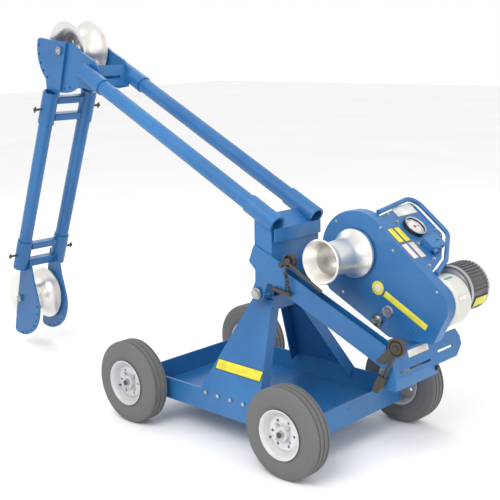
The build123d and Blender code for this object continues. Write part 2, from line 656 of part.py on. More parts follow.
def elbow_cheeks():
    """Outer side plates of the drop arm, with the arc of lock holes."""
    ex, ez = ELBOW.X, ELBOW.Z
    heel = drop_point(286, -36)
    tip = drop_point(286, 34)
    face = arc_face((ex, ez), CHEEK_R, 159, 226, (heel.X, heel.Z), (tip.X, tip.Z), (ex - 19, ez - 206),
                    (ex + 58, ez + 44))
    face = fillet(face.vertices().sort_by(Axis.Y)[-1], 26)
    plate = slab(face, -ELBOW_CHEEK_Y - CHEEK_T, -ELBOW_CHEEK_Y)
    plate = plate - sleeve_cut(drop_point, DROP_SLEEVE_AT, DROP_Y)[0]
    plate = plate - pin_y(ex, ez, -140, -100, SHEAVE_AXLE_R + RUN_CLEARANCE)
    plate = cheek_holes(plate, ELBOW, LOCK_HOLE_R, 170, 14.5, 5, -ELBOW_CHEEK_Y)
    return both_sides(largest(plate))


def nose_cheeks():
    """Side plates of the nose: a round foot below the axle and a waist up to the sleeves."""
    nx, nz = NOSE.X, NOSE.Z
    foot = (nx - 8, nz - 34)
    heel = drop_point(NOSE_AT - 285, -42)
    tip = drop_point(NOSE_AT - 285, 40)
    face = arc_face(foot, NOSE_CHEEK_R, -112, 8, (nx + 168, nz + 62), (nx + 146, nz + 130), (tip.X, tip.Z),
                    (heel.X, heel.Z), (nx - 44, nz - 60))
    face = fillet(face.vertices().sort_by(Axis.Y)[0:2], 22)
    plate = slab(face, -NOSE_CHEEK_Y - CHEEK_T, -NOSE_CHEEK_Y)
    plate = plate - sleeve_cut(drop_point, NOSE_SLEEVE_AT, DROP_Y)[0]
    plate = plate - pin_y(nx, nz, -130, -80, SHEAVE_AXLE_R)
    centre = Vector(foot[0], 0, foot[1])
    plate = cheek_holes(plate, centre, NOSE_CHEEK_R - 15, -88, 15, 7, -NOSE_CHEEK_Y)
    return both_sides(largest(plate))


def t_screw(distance, out):
    """Clamping screw with a tommy bar, set in a sleeve's outer side."""
    face = DROP_Y + SLEEVE_R
    screw = rod(drop_point(distance, 0, out * (face + 0.4)), drop_point(distance, 0, out * (face + 48)), 6.5)
    boss = rod(drop_point(distance, 0, out * (face + 38)), drop_point(distance, 0, out * (face + 48)), 10)
    grip = out * (face + 43)
    return screw + boss + rod(drop_point(distance - 17, 0, grip), drop_point(distance + 17, 0, grip), 4)


# --- binders ---------------------------------------------------------------------
def ratchet_wheel(x, z, y, radius, teeth):
    """Toothed wheel with a hexagon boss that turns on a fixed pin."""
    wheel = sprocket(x, z, y - 8, y + 8, teeth, radius, radius - 4, 8.06)
    boss = extrude(Plane(origin=(x, y - 8, z), z_dir=(0, -1, 0)) * (RegularPolygon(13, 6) - Circle(8.06)), amount=12)
    return wheel + boss


def binder_hub(x, z, y, radius):
    """Pin and open ring that carry a ratchet wheel."""
    pin = pin_y(x, z, y - 18, y + 14, 8)
    ring = pin_y(x, z, y - 7, y + 14, radius + 9, radius + 3)
    return pin + ring + pin_y(x, z, y + 9, y + 14, radius + 9)


def chain_links(start, end, count, radius=4.5):
    """Open links between two points, turned a quarter from one to the next."""
    start, end = Vector(*start), Vector(*end)
    axis = (end - start).normalized()
    pitch = (end - start).length / count
    links = []
    for k in range(count):
        centre = start + axis * (pitch * (k + 0.5))
        across = Vector(0, 1, 0) if k % 2 else axis.cross(Vector(0, 1, 0))
        half = pitch / 2 - radius * 0.5
        width = 9.0
        ring = FilletPolyline(centre - axis * half - across * width, centre + axis * half - across * width,
                              centre + axis * half + across * width, centre - axis * half + across * width,
                              radius=6, close=True)
        links.append(sweep(Plane(origin=ring @ 0, z_dir=ring % 0) * Circle(3.0), path=ring))
    return links


def front_binder():
    """Ratchet hub, eye rod, chain and hook bar on the near side of the mast."""
    x, z = FRONT_HUB
    y = BINDER_Y
    hub = binder_hub(x, z, y, 24)
    eye = rod((x - 30, y + 8, z - 12), (254, y + 8, z - 28), 6)
    lug = pin_y(254, z - 28, y + 2, -ARM_Y - ARM_WIDTH / 2 - 6, 11)
    fork = rod((x - 22, y + 8, z - 24), (x - 30, y + 4, z - 44), 6)
    bar = slab(outline((212, 741), (206, 727), (262, 716), (312, 712), (312, 728), (262, 732)), -190, -171)
    return [hub + eye + lug + fork, bar]


def front_handle():
    """Long lever of the front binder that lies over the near arm."""
    x, z = FRONT_HUB
    y = BINDER_Y - 14
    slope = math.tan(math.radians(ARM_ANGLE))
    grip = rod((x + 12, y, z - 12), (x + 190, y, z - 24 - 190 * slope), 7)
    eye = pin_y(x, z, y - 4, y + 4, 15, 8.06)
    return eye + grip - pin_y(x, z, y - 20, y + 20, 8.06)


def rear_binder():
    """Ratchet hub beside the near arm's end with two link rods down to a hook."""
    x, z = REAR_HUB
    y = BINDER_Y
    arm_face = -ARM_Y - ARM_WIDTH / 2
    hub = binder_hub(x, z, y, 30)
    hub = hub + slab(outline((770, 510), (806, 505), (x + 12, z - 22), (x + 6, z + 22), (x - 26, z + 10)), arm_face - 9, arm_face)
    for side in (-7, 7):
        hub = hub + rod((x - 14 + side, y + 8, z - 30), (812 + side, y + 4, 440), 4.5)
    hook = slab(outline((798, 456), (832, 446), (812, 402), (794, 380), (768, 382), (776, 410)), -196, -170)
    hook = hook + pin_y(822, 436, -171, arm_face, 6)
    return [hub, hook]


def main():
    os.makedirs(PARTS, exist_ok=True)
    corners = {"boom_near": (-HALF_BASE, -HALF_TRACK), "boom_far": (-HALF_BASE, HALF_TRACK),
               "motor_near": (HALF_BASE, -HALF_TRACK), "motor_far": (HALF_BASE, HALF_TRACK)}
    for place, (x, y) in corners.items():
        save("tyre_" + place, tyre(x, y))
        save("rim_" + place, rim(x, y), *wheel_bushes(x, y))
    save("stub_axles", *[stub_axle(x, y) for x, y in corners.values()])
    save("axle_nuts", *[axle_nut(x, y) for x, y in corners.values()])
    save("floor_pan", floor_pan())
    save("tray_rails", *side_rails(), *end_rails())
    save("pedestal_plates", *both_sides(pedestal_plate()))
    save("pedestal_box", pedestal_box())
    save("tilt_shaft", tilt_shaft())
    save("rail_bolts", *rail_bolts())
    save("mast_frame", *mast_frame())
    save("mast_head", *sleeve_pair(boom_point, MAST_SLEEVE_AT), sleeve_channel())
    save("arm_gussets", *arm_gussets())
    save("carriage_arms", *carriage_arms())
    save("cross_member", cross_member())
    save("case_front_shell", case_front_shell())
    save("case_back_shell", case_back_shell())
    save("case_fittings", *bearing_caps(), *case_screws())
    save("case_foot", case_foot())
    save("capstan_drum", capstan())
    save("capstan_shaft", capstan_shaft())
    capstan_chain = chain_loop(CAPSTAN_X, CAPSTAN_Z, 146.6, MID_X, MID_Z, 34.6, 50, 62, 6)
    save("drive_chains", capstan_chain, chain_loop(MID_X, MID_Z, 84.6, SHAFT_X, SHAFT_Z, 34.6, 72, 84, 6))
    save("intermediate_shaft", intermediate_shaft())
    save("motor_rotor", motor_rotor())
    save("gearcase", gearcase())
    save("motor_body", motor_body())
    save("motor_end_bell", motor_end_bell())
    save("control_panel", control_panel())
    save("guard_hoop", guard_hoop())
    save("gauge_case", gauge_case())
    save("gauge_needle", gauge_needle())
    save("switch_box", *switch_box())
    save("toggle_switch", toggle_switch())
    save("selector_knob", selector_knob())
    save("boom_tubes", *boom_tubes())
    save("head_sleeves", *sleeve_pair(boom_point, HEAD_SLEEVE_AT))
    save("head_plates", *head_cheeks(), *head_cross_plates())
    save("elbow_axle", sheave_axle(ELBOW, 134))
    save("elbow_sheave", sheave(ELBOW))
    save("elbow_cheeks", *elbow_cheeks())
    elbow_bars = [cross_bar(drop_point, 286, 0, 42, 42, DROP_Y - SLEEVE_R), cross_bar(drop_point, 388, 0, 42, 42, DROP_Y - SLEEVE_R)]
    save("elbow_sleeves", *sleeve_pair(drop_point, DROP_SLEEVE_AT, DROP_Y), *elbow_bars)
    save("drop_tubes", *drop_tubes())
    nose_bars = [cross_bar(drop_point, 1226, 0, 42, 42, DROP_Y - SLEEVE_R), cross_bar(drop_point, 1340, 0, 48, 46, DROP_Y - SLEEVE_R)]
    save("nose_sleeves", *sleeve_pair(drop_point, NOSE_SLEEVE_AT, DROP_Y), *nose_bars)
    save("nose_cheeks", *nose_cheeks())
    save("nose_axle", sheave_axle(NOSE, 120))
    save("nose_sheave", sheave(NOSE))
    for place, distance, out in (("elbow_near", 338, -1), ("elbow_far", 338, 1), ("nose_near", 1276, -1), ("nose_far", 1276, 1)):
        save("t_screw_" + place, t_screw(distance, out))
    x, z = FRONT_HUB
    save("front_binder", *front_binder(), *chain_links((x - 32, BINDER_Y + 4, z - 52), (304, -184, 738), 6))
    save("front_handle", front_handle())
    save("rear_binder", *rear_binder())
    save("rear_ratchet", ratchet_wheel(*REAR_HUB, BINDER_Y, 30, 16))


main()
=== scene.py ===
"""Wire rope puller: finishes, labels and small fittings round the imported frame."""
import logging
import math
from dataclasses import dataclass, field
from enum import Enum

import bmesh
import bpy
from mathutils import Matrix, Vector


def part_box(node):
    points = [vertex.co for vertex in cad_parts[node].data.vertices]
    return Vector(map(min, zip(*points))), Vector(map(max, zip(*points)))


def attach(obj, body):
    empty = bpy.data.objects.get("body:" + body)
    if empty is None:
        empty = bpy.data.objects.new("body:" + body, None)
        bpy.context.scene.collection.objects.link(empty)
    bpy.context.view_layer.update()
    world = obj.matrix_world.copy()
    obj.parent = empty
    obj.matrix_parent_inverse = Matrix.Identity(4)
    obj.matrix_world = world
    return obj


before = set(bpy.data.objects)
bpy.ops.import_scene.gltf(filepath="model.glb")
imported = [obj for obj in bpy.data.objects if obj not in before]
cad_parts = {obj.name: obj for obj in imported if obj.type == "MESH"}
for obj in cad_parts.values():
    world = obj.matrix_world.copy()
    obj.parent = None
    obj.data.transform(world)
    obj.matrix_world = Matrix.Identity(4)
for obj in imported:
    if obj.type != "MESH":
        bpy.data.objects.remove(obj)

log = logging.getLogger("wire_rope_puller")
Colour = tuple[float, float, float]
Triple = tuple[float, float, float]
Profile = list[tuple[float, float]]
Socket = bpy.types.NodeSocket
ALONG_X = Vector((1, 0, 0))
ALONG_Y = Vector((0, 1, 0))
NEAR_SIDE = Vector((0, -1, 0))


# --- workshop: meshes made with operators -----------------------------------------
def only(obj: bpy.types.Object) -> None:
    """Make obj the only selected and active object.

    Args:
        obj: The object to work on.
    """
    bpy.ops.object.select_all(action="DESELECT")
    obj.select_set(True)
    bpy.context.view_layer.objects.active = obj


def settle(obj: bpy.types.Object, place: Matrix) -> bpy.types.Object:
    """Put obj at a place and bake that place into its mesh.

    Args:
        obj: A finished mesh object at the origin.
        place: Where its local frame goes.

    Returns:
        The same object, at the origin with its place in its mesh.
    """
    only(obj)
    obj.matrix_world = place
    bpy.ops.object.transform_apply(location=True, rotation=True, scale=True)
    return obj


def soften(obj: bpy.types.Object, width: float, segments: int = 2) -> None:
    """Round the edges of obj with an applied bevel.

    Args:
        obj: The object to round.
        width: Bevel width in metres.
        segments: Number of bevel steps.
    """
    only(obj)
    bevel = obj.modifiers.new("edge_round", "BEVEL")
    bevel.width = width
    bevel.segments = segments
    bevel.limit_method = "ANGLE"
    bpy.ops.object.modifier_apply(modifier=bevel.name)
    bpy.ops.object.shade_smooth_by_angle(angle=math.radians(35))


def plate(name: str, size: Vector, corner: float, edge: float) -> bpy.types.Object:
    """Make a flat plate with rounded corners, centred on the origin.

    Args:
        name: Object name.
        size: Length, width and thickness in metres.
        corner: Radius of its four corners in plan.
        edge: Rounding of its rims.

    Returns:
        The plate.
    """
    bpy.ops.object.select_all(action="DESELECT")
    bpy.ops.mesh.primitive_cube_add(size=1)
    obj = bpy.context.object
    obj.name = name
    obj.scale = size
    bpy.ops.object.transform_apply(scale=True)
    bpy.ops.object.mode_set(mode="EDIT")
    mesh = bmesh.from_edit_mesh(obj.data)
    for part in mesh.edges:
        a, b = part.verts
        part.select_set(abs(a.co.z - b.co.z) > size.z * 0.5)
    bmesh.update_edit_mesh(obj.data)
    bpy.ops.mesh.bevel(offset=corner, segments=5)
    bpy.ops.object.mode_set(mode="OBJECT")
    soften(obj, edge)
    return obj


def turned(name: str, profile: Profile, steps: int = 48) -> bpy.types.Object:
    """Make a turned piece about local Z by extruding a disc step by step.

    Args:
        name: Object name.
        profile: Radius and height of each step, from the bottom up.
        steps: Number of sides.

    Returns:
        The closed turned piece.
    """
    bpy.ops.object.select_all(action="DESELECT")
    radius, height = profile[0]
    start = (0, 0, height)
    bpy.ops.mesh.primitive_circle_add(vertices=steps, radius=radius, fill_type="NGON", location=start)
    obj = bpy.context.object
    obj.name = name
    bpy.ops.object.transform_apply(location=True)
    bpy.ops.object.mode_set(mode="EDIT")
    bpy.ops.mesh.select_all(action="SELECT")
    for next_radius, next_height in profile[1:]:
        bpy.ops.mesh.extrude_region_move(TRANSFORM_OT_translate={"value": (0, 0, next_height - height)})
        k = next_radius / radius
        bpy.ops.transform.resize(value=(k, k, 1), center_override=(0, 0, next_height))
        radius, height = next_radius, next_height
    bpy.ops.mesh.select_all(action="SELECT")
    bpy.ops.mesh.remove_doubles(threshold=1e-6)
    bpy.ops.mesh.normals_make_consistent(inside=False)
    bpy.ops.object.mode_set(mode="OBJECT")
    only(obj)
    bpy.ops.object.shade_smooth_by_angle(angle=math.radians(30))
    return obj


def hexagon_bolt(name: str, radius: float, height: float) -> bpy.types.Object:
    """Make a hexagon head on a thin washer, standing on local Z.

    Args:
        name: Object name.
        radius: Corner radius of the head.
        height: Height of the head above the washer.

    Returns:
        The bolt head with its washer.
    """
    rim = radius * 1.3
    washer = turned(name, [(rim, 0), (rim, height * 0.15), (radius * 1.1, height * 0.2)], 24)
    bpy.ops.object.select_all(action="DESELECT")
    middle = (0, 0, height * 0.68)
    bpy.ops.mesh.primitive_cylinder_add(vertices=6, radius=radius, depth=height, location=middle)
    head = bpy.context.object
    bpy.ops.object.transform_apply(location=True)
    soften(head, radius * 0.12)
    return joined(washer, [head])


def joined(first: bpy.types.Object, others: list[bpy.types.Object]) -> bpy.types.Object:
    """Join several objects into the first.

    Args:
        first: The object that stays.
        others: The objects that become part of it.

    Returns:
        The joined object.
    """
    only(first)
    for other in others:
        other.select_set(True)
    bpy.ops.object.join()
    return bpy.context.object


def copies(pattern: bpy.types.Object, places: list[Matrix]) -> bpy.types.Object:
    """Repeat a piece at several places and join the copies.

    Args:
        pattern: The piece, modelled once at the origin.
        places: Where each copy goes.

    Returns:
        One object that holds every copy.
    """
    made = []
    for place in places:
        twin = pattern.copy()
        twin.data = pattern.data.copy()
        bpy.context.scene.collection.objects.link(twin)
        made.append(settle(twin, place))
    bpy.data.objects.remove(pattern)
    return joined(made[0], made[1:]) if len(made) > 1 else made[0]


def facing(at: Vector, out: Vector, along: Vector) -> Matrix:
    """Frame at a point with Z outwards and X along a direction.

    Args:
        at: The origin of the frame.
        out: Outward direction.
        along: Direction of local X, squared up to out.

    Returns:
        The frame as a matrix.
    """
    z = out.normalized()
    x = (along - z * along.dot(z)).normalized()
    y = z.cross(x)
    turn = Matrix((x, y, z)).transposed().to_4x4()
    return Matrix.Translation(at) @ turn


def on_surface(node: str, start: Vector, aim: Vector) -> tuple[Vector, Vector]:
    """Find where a line meets a carried-over node.

    Args:
        node: Name of the node.
        start: Where the line starts, outside the node.
        aim: Direction of the line.

    Returns:
        The point that it meets and the surface's outward normal there.
    """
    hit, point, normal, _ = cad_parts[node].ray_cast(start, aim.normalized())
    if not hit:
        raise ValueError(f"no surface of {node} at {start}")
    return point, normal if normal.dot(aim) < 0 else -normal


# --- finishes ---------------------------------------------------------------------
class NodeSheet:
    """Short-hand for building one material's nodes."""

    def __init__(self, name: str) -> None:
        """Start a material with a Principled shader.

        Args:
            name: Material name.
        """
        self.material = bpy.data.materials.new(name)
        self.material.use_nodes = True
        self.tree = self.material.node_tree
        self.shader = self.tree.nodes["Principled BSDF"]
        self.place = self.add("ShaderNodeTexCoord").outputs["Object"]

    def add(self, kind: str) -> bpy.types.Node:
        """Add one node."""
        return self.tree.nodes.new(kind)

    def link(self, source: Socket, target: Socket) -> None:
        """Link two sockets."""
        self.tree.links.new(source, target)

    def noise(self, scale: float, detail: float = 4.0, stretch: Colour = (1, 1, 1)) -> Socket:
        """Noise on object coordinates.

        Args:
            scale: Noise scale per metre.
            detail: Octaves.
            stretch: Scale along each axis.

        Returns:
            The factor output.
        """
        mapping = self.add("ShaderNodeMapping")
        mapping.inputs["Scale"].default_value = stretch
        self.link(self.place, mapping.inputs["Vector"])
        noise = self.add("ShaderNodeTexNoise")
        noise.inputs["Scale"].default_value = scale
        noise.inputs["Detail"].default_value = detail
        self.link(mapping.outputs["Vector"], noise.inputs["Vector"])
        return noise.outputs["Fac"]

    def ramp(self, source: Socket, low: float, high: float, a: Colour, b: Colour) -> Socket:
        """Blend two colours over part of a factor's range.

        Args:
            source: The factor.
            low: Factor at which colour a ends.
            high: Factor at which colour b starts.
            a: First colour.
            b: Second colour.

        Returns:
            The colour output.
        """
        ramp = self.add("ShaderNodeValToRGB")
        ramp.color_ramp.elements[0].position = low
        ramp.color_ramp.elements[1].position = high
        ramp.color_ramp.elements[0].color = (*a, 1)
        ramp.color_ramp.elements[1].color = (*b, 1)
        self.link(source, ramp.inputs["Fac"])
        return ramp.outputs["Color"]

    def span(self, source: Socket, low: float, high: float, to_low: float, to_high: float) -> Socket:
        """Map a factor's range to another range.

        Args:
            source: The factor.
            low: Factor that becomes to_low.
            high: Factor that becomes to_high.
            to_low: Lowest result.
            to_high: Highest result.

        Returns:
            The mapped value.
        """
        mapped = self.add("ShaderNodeMapRange")
        for socket, value in zip(("From Min", "From Max", "To Min", "To Max"), (low, high, to_low, to_high)):
            mapped.inputs[socket].default_value = value
        self.link(source, mapped.inputs["Value"])
        return mapped.outputs["Result"]

    def blend(self, factor: Socket, a: Socket, b: Colour | Socket) -> Socket:
        """Mix colour b over colour a.

        Args:
            factor: How much of b shows.
            a: The lower colour.
            b: The upper colour, a socket or a plain colour.

        Returns:
            The mixed colour.
        """
        mix = self.add("ShaderNodeMix")
        mix.data_type = "RGBA"
        self.link(factor, mix.inputs["Factor"])
        self.link(a, mix.inputs["A"])
        if isinstance(b, Socket):
            self.link(b, mix.inputs["B"])
        else:
            mix.inputs["B"].default_value = (*b, 1)
        return mix.outputs["Result"]

    def bump(self, height: Socket, strength: float, distance: float) -> None:
        """Give the surface a bump.

        Args:
            height: The height factor.
            strength: Bump strength.
            distance: Height of a full step in metres.
        """
        bump = self.add("ShaderNodeBump")
        bump.inputs["Strength"].default_value = strength
        bump.inputs["Distance"].default_value = distance
        self.link(height, bump.inputs["Height"])
        self.link(bump.outputs["Normal"], self.shader.inputs["Normal"])


@dataclass(frozen=True)
class Enamel:
    """Sprayed enamel with soft colour drift, orange peel, road dust and small chips."""

    name: str
    colour: Colour
    deep: Colour
    gloss: float = 0.34
    dust: float = 0.25

    def build(self) -> bpy.types.Material:
        """Return the material."""
        sheet = NodeSheet(self.name)
        drift = sheet.ramp(sheet.noise(2.2, 5), 0.35, 0.68, self.deep, self.colour)
        grime = sheet.span(sheet.noise(9, 8), 0.52, 0.78, 0, self.dust)
        shade = sheet.blend(grime, drift, tuple(c * 0.55 + 0.06 for c in self.deep))
        chips = sheet.span(sheet.noise(70, 3), 0.735, 0.76, 0, 0.7)
        sheet.link(sheet.blend(chips, shade, (0.16, 0.17, 0.18)), sheet.shader.inputs["Base Color"])
        polish = sheet.span(sheet.noise(14, 6), 0.3, 0.7, self.gloss - 0.07, self.gloss + 0.14)
        sheet.link(polish, sheet.shader.inputs["Roughness"])
        sheet.shader.inputs["Coat Weight"].default_value = 0.12
        sheet.shader.inputs["Coat Roughness"].default_value = 0.2
        sheet.bump(sheet.noise(160, 3), 0.12, 0.001)
        return sheet.material


@dataclass(frozen=True)
class BareMetal:
    """Bare metal with casting or turning marks and a polished-to-dull drift."""

    name: str
    colour: Colour
    dull: Colour
    roughness: float
    metal: float = 1.0
    grain: float = 60.0
    stretch: Colour = (1, 1, 1)
    bump_mm: float = 0.3

    def build(self) -> bpy.types.Material:
        """Return the material."""
        sheet = NodeSheet(self.name)
        tone = sheet.ramp(sheet.noise(11, 7), 0.3, 0.72, self.dull, self.colour)
        marks = sheet.noise(self.grain, 5, self.stretch)
        shade = sheet.blend(sheet.span(marks, 0.5, 0.75, 0, 0.35), tone, self.dull)
        sheet.link(shade, sheet.shader.inputs["Base Color"])
        polish = sheet.span(marks, 0.3, 0.7, self.roughness - 0.08, self.roughness + 0.15)
        sheet.link(polish, sheet.shader.inputs["Roughness"])
        sheet.shader.inputs["Metallic"].default_value = self.metal
        sheet.bump(marks, 0.25, self.bump_mm / 1000)
        return sheet.material


@dataclass(frozen=True)
class Rust:
    """Dark forged steel with brown rust blooms and bright rubbed spots."""

    name: str
    colour: Colour
    bloom: Colour

    def build(self) -> bpy.types.Material:
        """Return the material."""
        sheet = NodeSheet(self.name)
        blooms = sheet.ramp(sheet.noise(38, 8), 0.47, 0.62, self.colour, self.bloom)
        rubbed = sheet.span(sheet.noise(55, 4), 0.6, 0.68, 0, 0.8)
        sheet.link(sheet.blend(rubbed, blooms, (0.42, 0.41, 0.4)), sheet.shader.inputs["Base Color"])
        sheet.link(sheet.span(rubbed, 0, 0.8, 0.7, 0.35), sheet.shader.inputs["Roughness"])
        sheet.shader.inputs["Metallic"].default_value = 0.7
        sheet.bump(sheet.noise(220, 4), 0.4, 0.0006)
        return sheet.material


@dataclass(frozen=True)
class Rubber:
    """Tyre rubber with pale dust and a fine moulded grain."""

    name: str
    colour: Colour
    dust: Colour

    def build(self) -> bpy.types.Material:
        """Return the material."""
        sheet = NodeSheet(self.name)
        tone = sheet.ramp(sheet.noise(13, 8), 0.36, 0.7, self.colour, self.dust)
        sheet.link(tone, sheet.shader.inputs["Base Color"])
        sheet.link(sheet.span(sheet.noise(30, 5), 0.3, 0.7, 0.72, 0.95), sheet.shader.inputs["Roughness"])
        sheet.bump(sheet.noise(420, 4), 0.5, 0.0007)
        return sheet.material


@dataclass(frozen=True)
class Print:
    """Printed vinyl: a flat ink with slight fading and a soft film texture."""

    name: str
    ink: Colour

    def build(self) -> bpy.types.Material:
        """Return the material."""
        sheet = NodeSheet(self.name)
        faded = tuple(c * 0.72 + 0.03 for c in self.ink)
        tone = sheet.ramp(sheet.noise(28, 6), 0.3, 0.66, faded, self.ink)
        sheet.link(tone, sheet.shader.inputs["Base Color"])
        sheet.link(sheet.span(sheet.noise(60, 4), 0.3, 0.7, 0.35, 0.55), sheet.shader.inputs["Roughness"])
        sheet.bump(sheet.noise(500, 2), 0.08, 0.0003)
        return sheet.material


class Finish(Enum):
    """The finishes of the puller."""

    BLUE = Enamel("blue_enamel", (0.022, 0.155, 0.385), (0.012, 0.11, 0.3))
    # Darker copy of the frame blue for the drop arm, its sleeves and the nose cheeks: painted shade on the
    # hanging arm's sides, not a different paint; the real frame is one blue throughout.
    DROP_BLUE = Enamel("blue_enamel_drop_painted_shade", (0.015, 0.135, 0.345), (0.009, 0.1, 0.275))
    SILVER = Enamel("silver_enamel", (0.62, 0.63, 0.64), (0.46, 0.47, 0.49), 0.38, 0.3)
    WHITE = Enamel("white_enamel", (0.66, 0.655, 0.62), (0.55, 0.545, 0.5), 0.35, 0.12)
    MOTOR = Enamel("motor_enamel", (0.12, 0.12, 0.13), (0.07, 0.07, 0.08), 0.42, 0.3)
    CAST = BareMetal("cast_aluminium", (0.66, 0.64, 0.61), (0.42, 0.405, 0.385), 0.5, 0.55, 90,
                     (1, 4, 1), 0.5)
    ZINC = BareMetal("zinc_plate", (0.62, 0.63, 0.65), (0.38, 0.38, 0.38), 0.3, 1.0, 140)
    GUN = BareMetal("gun_steel", (0.3, 0.31, 0.33), (0.16, 0.16, 0.17), 0.3, 0.9, 120)
    BELL = BareMetal("cast_cover", (0.6, 0.61, 0.63), (0.36, 0.37, 0.39), 0.36, 0.85, 120)
    DARK = Rust("dark_steel", (0.022, 0.02, 0.019), (0.075, 0.04, 0.024))
    TYRE = Rubber("tyre_rubber", (0.06, 0.058, 0.056), (0.125, 0.12, 0.112))
    BLACK = Enamel("black_housing", (0.02, 0.02, 0.022), (0.012, 0.012, 0.013), 0.3, 0.15)
    YELLOW = Print("yellow_vinyl", (0.74, 0.66, 0.03))
    CREAM = Print("cream_vinyl", (0.68, 0.65, 0.56))
    PALE = Print("white_vinyl", (0.72, 0.72, 0.71))
    PINK = Print("pink_vinyl", (0.72, 0.3, 0.27))
    GREEN = Print("green_vinyl", (0.04, 0.33, 0.2))
    INK = Print("black_ink", (0.02, 0.02, 0.02))
    RED = Print("red_paint", (0.6, 0.03, 0.02))

    def material(self) -> bpy.types.Material:
        """Return the finish's material, made once."""
        found = bpy.data.materials.get(self.value.name)
        return found or self.value.build()


def dress(obj: bpy.types.Object, finish: Finish) -> None:
    """Give an object one finish.

    Args:
        obj: A mesh object.
        finish: Its finish.
    """
    obj.data.materials.clear()
    obj.data.materials.append(finish.material())


def fit(obj: bpy.types.Object, finish: Finish, body: str) -> bpy.types.Object:
    """Dress a new piece and make it ride on its body.

    Args:
        obj: The new piece, in place.
        finish: Its finish.
        body: The body that it moves with.

    Returns:
        The piece.
    """
    dress(obj, finish)
    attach(obj, body)
    log.info("fitted %s on %s", obj.name, body)
    return obj


@dataclass
class CadPaint:
    """The finishes of the carried-over nodes, by the start of their names."""

    by_start: dict[str, Finish] = field(default_factory=lambda: {
        "tyre_": Finish.TYRE, "rim_": Finish.SILVER, "axle_nuts": Finish.ZINC, "stub_axles": Finish.DARK,
        "capstan_drum": Finish.CAST, "elbow_sheave": Finish.CAST, "nose_sheave": Finish.CAST,
        "capstan_shaft": Finish.ZINC, "intermediate_shaft": Finish.ZINC, "motor_rotor": Finish.ZINC,
        "tilt_shaft": Finish.ZINC, "elbow_axle": Finish.ZINC, "nose_axle": Finish.ZINC,
        "rail_bolts": Finish.ZINC, "case_fittings": Finish.ZINC, "toggle_switch": Finish.ZINC,
        "t_screw": Finish.DARK, "front_": Finish.DARK, "rear_": Finish.DARK, "drive_chains": Finish.DARK,
        "gearcase": Finish.WHITE, "motor_body": Finish.MOTOR, "motor_end_bell": Finish.BELL,
        "gauge_case": Finish.BLACK, "gauge_needle": Finish.RED,
        # Drop tubes, elbow sleeves, nose sleeves and nose cheeks take the darker blue copy: painted shade, not
        # a different paint.
        "selector_knob": Finish.GUN, "drop_tubes": Finish.DROP_BLUE, "elbow_sleeves": Finish.DROP_BLUE,
        "nose_sleeves": Finish.DROP_BLUE, "nose_cheeks": Finish.DROP_BLUE,
    })

    def apply(self) -> None:
        """Dress every carried-over node."""
        for name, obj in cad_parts.items():
            chosen = [finish for start, finish in self.by_start.items() if name.startswith(start)]
            dress(obj, chosen[0] if chosen else Finish.BLUE)


# --- labels -----------------------------------------------------------------------
@dataclass
class Label:
    """A blank printed label: a coloured field inside a thin printed border."""

    name: str
    place: Matrix
    length: float
    width: float
    ink: Finish
    body: str
    border: Finish | None = None
    corner: float = 0.004
    film: float = 0.0008
    border_share: float = 0.07
    least_corner: float = 0.001

    def layer(self, name: str, edge: float, corner: float, lift: float) -> bpy.types.Object:
        """Make one layer of film.

        Args:
            name: Object name.
            edge: How far the layer stops short of the label's edge.
            corner: Radius of its corners.
            lift: Height of the layer above the label's place.

        Returns:
            The layer, in place.
        """
        size = Vector((self.length - 2 * edge, self.width - 2 * edge, self.film))
        sheet = plate(name, size, corner, self.film / 4)
        return settle(sheet, self.place @ Matrix.Translation((0, 0, lift)))

    def build(self) -> None:
        """Lay the border film and the coloured film on top of it."""
        edge = min(self.length, self.width) * self.border_share if self.border else 0.0
        if self.border:
            back = self.layer(self.name + "_border", 0.0, self.corner, 0.0)
            fit(back, self.border, self.body)
        corner = max(self.corner - edge, self.least_corner)
        face = self.layer(self.name, edge, corner, self.film / 2 if self.border else 0.0)
        fit(face, self.ink, self.body)


